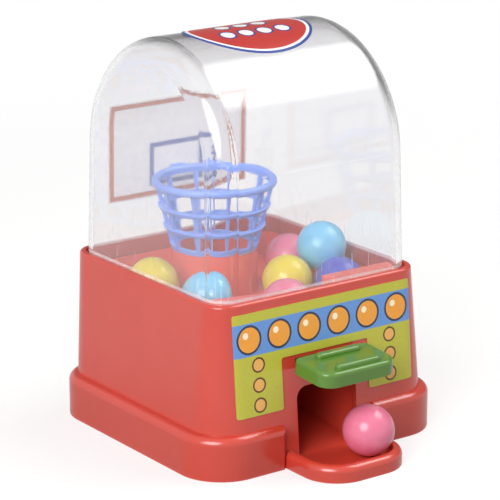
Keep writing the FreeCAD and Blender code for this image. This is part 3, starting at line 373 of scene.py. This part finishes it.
SCREW_HEAD_MM = 2.4
GUMBALLS = {
    "yellow": (("#dcc424", "#e4d034"), ("yellow_left", "yellow_front")),
    "blue": (("#6fbbe2", "#86cbec"), ("blue_front", "blue_top")),
    "pink": (("#dc688c", "#e7869f"), ("pink_back", "on_spoon", "on_tray")),
    "violet": (("#4a4fb4", "#5a5fc2"), ("violet",)),
}


def dress_model():
    """Give every node of the model its finish."""
    red = red_abs("moulded_red_abs", ("#c23a2c", "#ca4435"))
    for node in ("housing", "base_plate", "chute_tray"):
        coat_node(node, red)
    # Painted light: the bed is the housing's red ABS in a lighter copy, which stands in for the light that
    # bounces round under the dome.
    coat_node("ball_bed", red_abs("moulded_red_abs_painted_lighter", ("#e65a48", "#ec6452")))
    coat_node("lever", green_polypropylene())
    coat_node("hoop_net", blue_polypropylene())
    coat_node("dome", clear_polystyrene())
    coat_node("backboard", board_print())
    coat_node("front_label", front_print())
    coat_node("top_label", top_print())
    steel = zinc_plated_steel("zinc_plated_steel")
    for node in ("pivot_pin", "return_spring"):
        coat_node(node, steel)
    coat_node("base_screws", zinc_plated_steel("zinc_plated_screw_steel", SCREW_HEAD_MM))
    for flavour, (colours, balls) in GUMBALLS.items():
        shell = sugar_shell("sugar_shell_" + flavour, colours)
        for ball in balls:
            coat_node("gumball_" + ball, shell)


# Studio: a pale floor that fades into a white surround, two soft boxes and the camera.

# Strength of the light from all round, and the way to the one dim corner of the room.
AMBIENT = 0.48
DIM_CORNER = (0.65, 0.45, 0.61)

# Radius of the floor, and how far it lies under the object.
FLOOR_REACH = 0.9
FLOOR_DROP = 0.05 * MM

# Distances over which the floor comes up from half dim in reflections, and over which it clears.
FLOOR_DIM_MM = (60, 170)
FLOOR_FADE_MM = (150, 420)

# Share of plain white in the floor where it is looked at.
FLOOR_GLOW = 0.62

# Each soft box: the way to it from the object's middle, its sides in metres and its power in watts.
LAMP_DISTANCE = 0.7
SOFT_BOXES = {
    "left_soft_box": ((-0.76, -0.43, 0.47), (0.6, 0.6), 9.6),
    "right_soft_box": ((0.563, -0.158, 0.811), (0.62, 0.5), 5.5),
}

CAMERA_PLACE = Vector((-0.3404, -0.4706, 0.2147))
CAMERA_TARGET = Vector((0.00195, 0.00148, 0.04347))
LENS_MM = 174.5
FILM_MM = 36.0


def aim(holder, place, target):
    """Put a lamp or camera in the scene, turned to a point."""
    holder.location = place
    holder.rotation_euler = (target - place).to_track_quat("-Z", "Y").to_euler()
    bpy.context.scene.collection.objects.link(holder)


def make_surround():
    """White to the eye, with one dim corner that only gloss and the thick edges of clear plastic show."""
    world = bpy.data.worlds.new("white_surround")
    bpy.context.scene.world = world
    world.use_nodes = True
    tree = world.node_tree
    tree.nodes.clear()
    way = add(tree, "TexCoord")["Generated"]
    corner = Vector(DIM_CORNER).normalized()
    toward = add(tree, "VectorMath", {0: way, 1: corner}, operation="DOT_PRODUCT")["Value"]
    dim = add(tree, "MapRange", {
        "Value": toward, "From Min": 0.6, "From Max": 0.85, "To Min": 1.0, "To Max": 0.25},
        interpolation_type="SMOOTHSTEP")["Result"]
    path = add(tree, "LightPath")
    eye = path["Is Camera Ray"]
    shown = add(tree, "Math", {0: eye, 1: dim}, operation="MAXIMUM")["Value"]
    gloss = add(tree, "Math", {0: eye, 1: path["Is Glossy Ray"]}, operation="MAXIMUM")["Value"]
    seen = add(tree, "Math", {0: gloss, 1: path["Is Transmission Ray"]}, operation="MAXIMUM")["Value"]
    level = add(tree, "MapRange", {"Value": seen, "To Min": AMBIENT, "To Max": shown})["Result"]
    light = add(tree, "Background", {"Color": linear("#ffffff"), "Strength": level})["Background"]
    add(tree, "OutputWorld", {"Surface": light})


def studio_paper():
    """Pale paper that takes the shadow near the object, and is dim there in reflections.

    It clears towards the surround and seen from below, and lets light up to the face that stands on it.
    """
    material, tree, point = new_material("pale_studio_paper")
    tooth = add(tree, "TexNoise", {"Vector": point, "Scale": 1 / 0.7, "Detail": 3.0})["Fac"]
    paper = lay_colours(tree, linear("#f4f3f2"), [(tooth, "#fbfaf9")])
    reach = add(tree, "VectorMath", {0: point}, operation="LENGTH")["Value"]
    far = add(tree, "MapRange", {
        "Value": reach, "From Min": FLOOR_DIM_MM[0], "From Max": FLOOR_DIM_MM[1],
        "To Min": 0.5, "To Max": 1.0},
        interpolation_type="SMOOTHSTEP")["Result"]
    path = add(tree, "LightPath")
    mirrored = add(tree, "Math", {0: path["Is Glossy Ray"], 1: far}, operation="MULTIPLY")["Value"]
    eye = add(tree, "Math", {
        0: path["Is Camera Ray"], 1: path["Is Transmission Ray"]}, operation="MAXIMUM")["Value"]
    seen = add(tree, "Math", {0: eye, 1: mirrored}, operation="MAXIMUM")["Value"]
    shade = add(tree, "Mix", {FACTOR: seen, BELOW: linear("#8c8885"), ABOVE: paper}, data_type="RGBA")[MIXED]
    lit = add(tree, "BsdfDiffuse", {"Color": shade})["BSDF"]
    white = add(tree, "Emission", {"Color": linear("#ffffff"), "Strength": 1.0})["Emission"]
    glow = add(tree, "Math", {0: seen, 1: FLOOR_GLOW}, operation="MULTIPLY")["Value"]
    sheet = add(tree, "MixShader", {0: glow, 1: lit, 2: white})["Shader"]

    fade = add(tree, "MapRange", {
        "Value": reach, "From Min": FLOOR_FADE_MM[0], "From Max": FLOOR_FADE_MM[1]},
        interpolation_type="SMOOTHSTEP")["Result"]
    below = add(tree, "NewGeometry")["Backfacing"]
    under = add(tree, "Math", {0: path["Ray Length"], 1: 1.0 * MM}, operation="LESS_THAN")["Value"]
    hidden = add(tree, "Math", {0: below, 1: under}, operation="MAXIMUM")["Value"]
    gone = add(tree, "Math", {0: fade, 1: hidden}, operation="MAXIMUM")["Value"]
    clear = add(tree, "BsdfTransparent")["BSDF"]
    surface = add(tree, "MixShader", {0: gone, 1: sheet, 2: clear})["Shader"]
    add(tree, "OutputMaterial", {"Surface": surface})
    return material


def make_floor():
    """Round sheet just under the object's foot."""
    shape = bmesh.new()
    bmesh.ops.create_circle(shape, cap_ends=True, segments=64, radius=FLOOR_REACH)
    bmesh.ops.translate(shape, verts=shape.verts, vec=(0, 0, -FLOOR_DROP))
    mesh = bpy.data.meshes.new("studio_floor")
    shape.to_mesh(mesh)
    shape.free()
    floor = bpy.data.objects.new("studio_floor", mesh)
    bpy.context.scene.collection.objects.link(floor)
    mesh.materials.append(studio_paper())


def make_soft_box(name, direction, sides, watts):
    """Area lamp that faces the middle of the object, bright in its middle and dim at its edges."""
    lamp = bpy.data.lights.new(name, "AREA")
    lamp.shape = "RECTANGLE"
    lamp.size, lamp.size_y = sides
    lamp.energy = watts
    lamp.use_nodes = True
    tree = lamp.node_tree
    tree.nodes.clear()
    panel = add(tree, "NewGeometry")["Parametric"]
    centred = add(tree, "Mapping", {"Vector": panel, "Location": (-1, -1, 0), "Scale": (2, 2, 0)})["Vector"]
    off = add(tree, "VectorMath", {0: centred}, operation="LENGTH")["Value"]
    fall = add(tree, "MapRange", {
        "Value": off, "From Min": 0.45, "From Max": 1.1, "To Min": 1.0, "To Max": 0.0},
        interpolation_type="SMOOTHSTEP")["Result"]
    glow = add(tree, "Emission", {"Strength": fall})["Emission"]
    add(tree, "OutputLight", {"Surface": glow})
    middle = (Vector(cad_box[0]) + Vector(cad_box[1])) / 2
    place = middle + Vector(direction).normalized() * LAMP_DISTANCE
    aim(bpy.data.objects.new(name, lamp), place, middle)


def make_camera():
    """Long lens from the front left, a little above."""
    camera = bpy.data.cameras.new("photo_view")
    camera.sensor_width = FILM_MM
    camera.lens = LENS_MM
    camera.clip_start = 0.01
    holder = bpy.data.objects.new("photo_view", camera)
    aim(holder, CAMERA_PLACE, CAMERA_TARGET)
    bpy.context.scene.camera = holder


dress_model()
make_surround()
make_floor()
for name, (direction, sides, watts) in SOFT_BOXES.items():
    make_soft_box(name, direction, sides, watts)
make_camera()
bpy.context.scene.view_settings.view_transform = "Standard"
